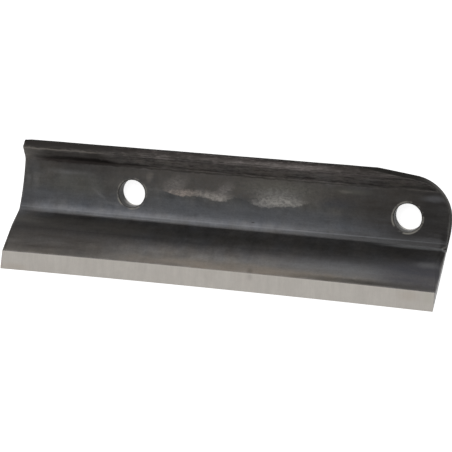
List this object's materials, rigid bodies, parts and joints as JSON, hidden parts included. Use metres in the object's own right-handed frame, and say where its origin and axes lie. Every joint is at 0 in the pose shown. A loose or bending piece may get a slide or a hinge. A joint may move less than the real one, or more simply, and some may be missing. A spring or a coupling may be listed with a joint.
{
  "type": "chopper knife",
  "caption": "Long bent steel knife for a chopping drum, with a bolt-on flange, a thick lip along its top and a ground cutting edge.",
  "frame": {"origin": "on the flange's flat back, halfway between the two bolt holes", "axes": "+X along the knife towards the rounded corner, +Y across the flange towards the lip, +Z out of the flange's front, along the bolt holes"},
  "size_m": [0.3563, 0.1013, 0.0482],
  "materials": {
    "hardened_steel": "dark quenched scale with a satin sheen, ground bright on the bevel"
  },
  "bodies": {
    "root": {"chopper_knife": "hardened_steel"}
  },
  "joints": []
}
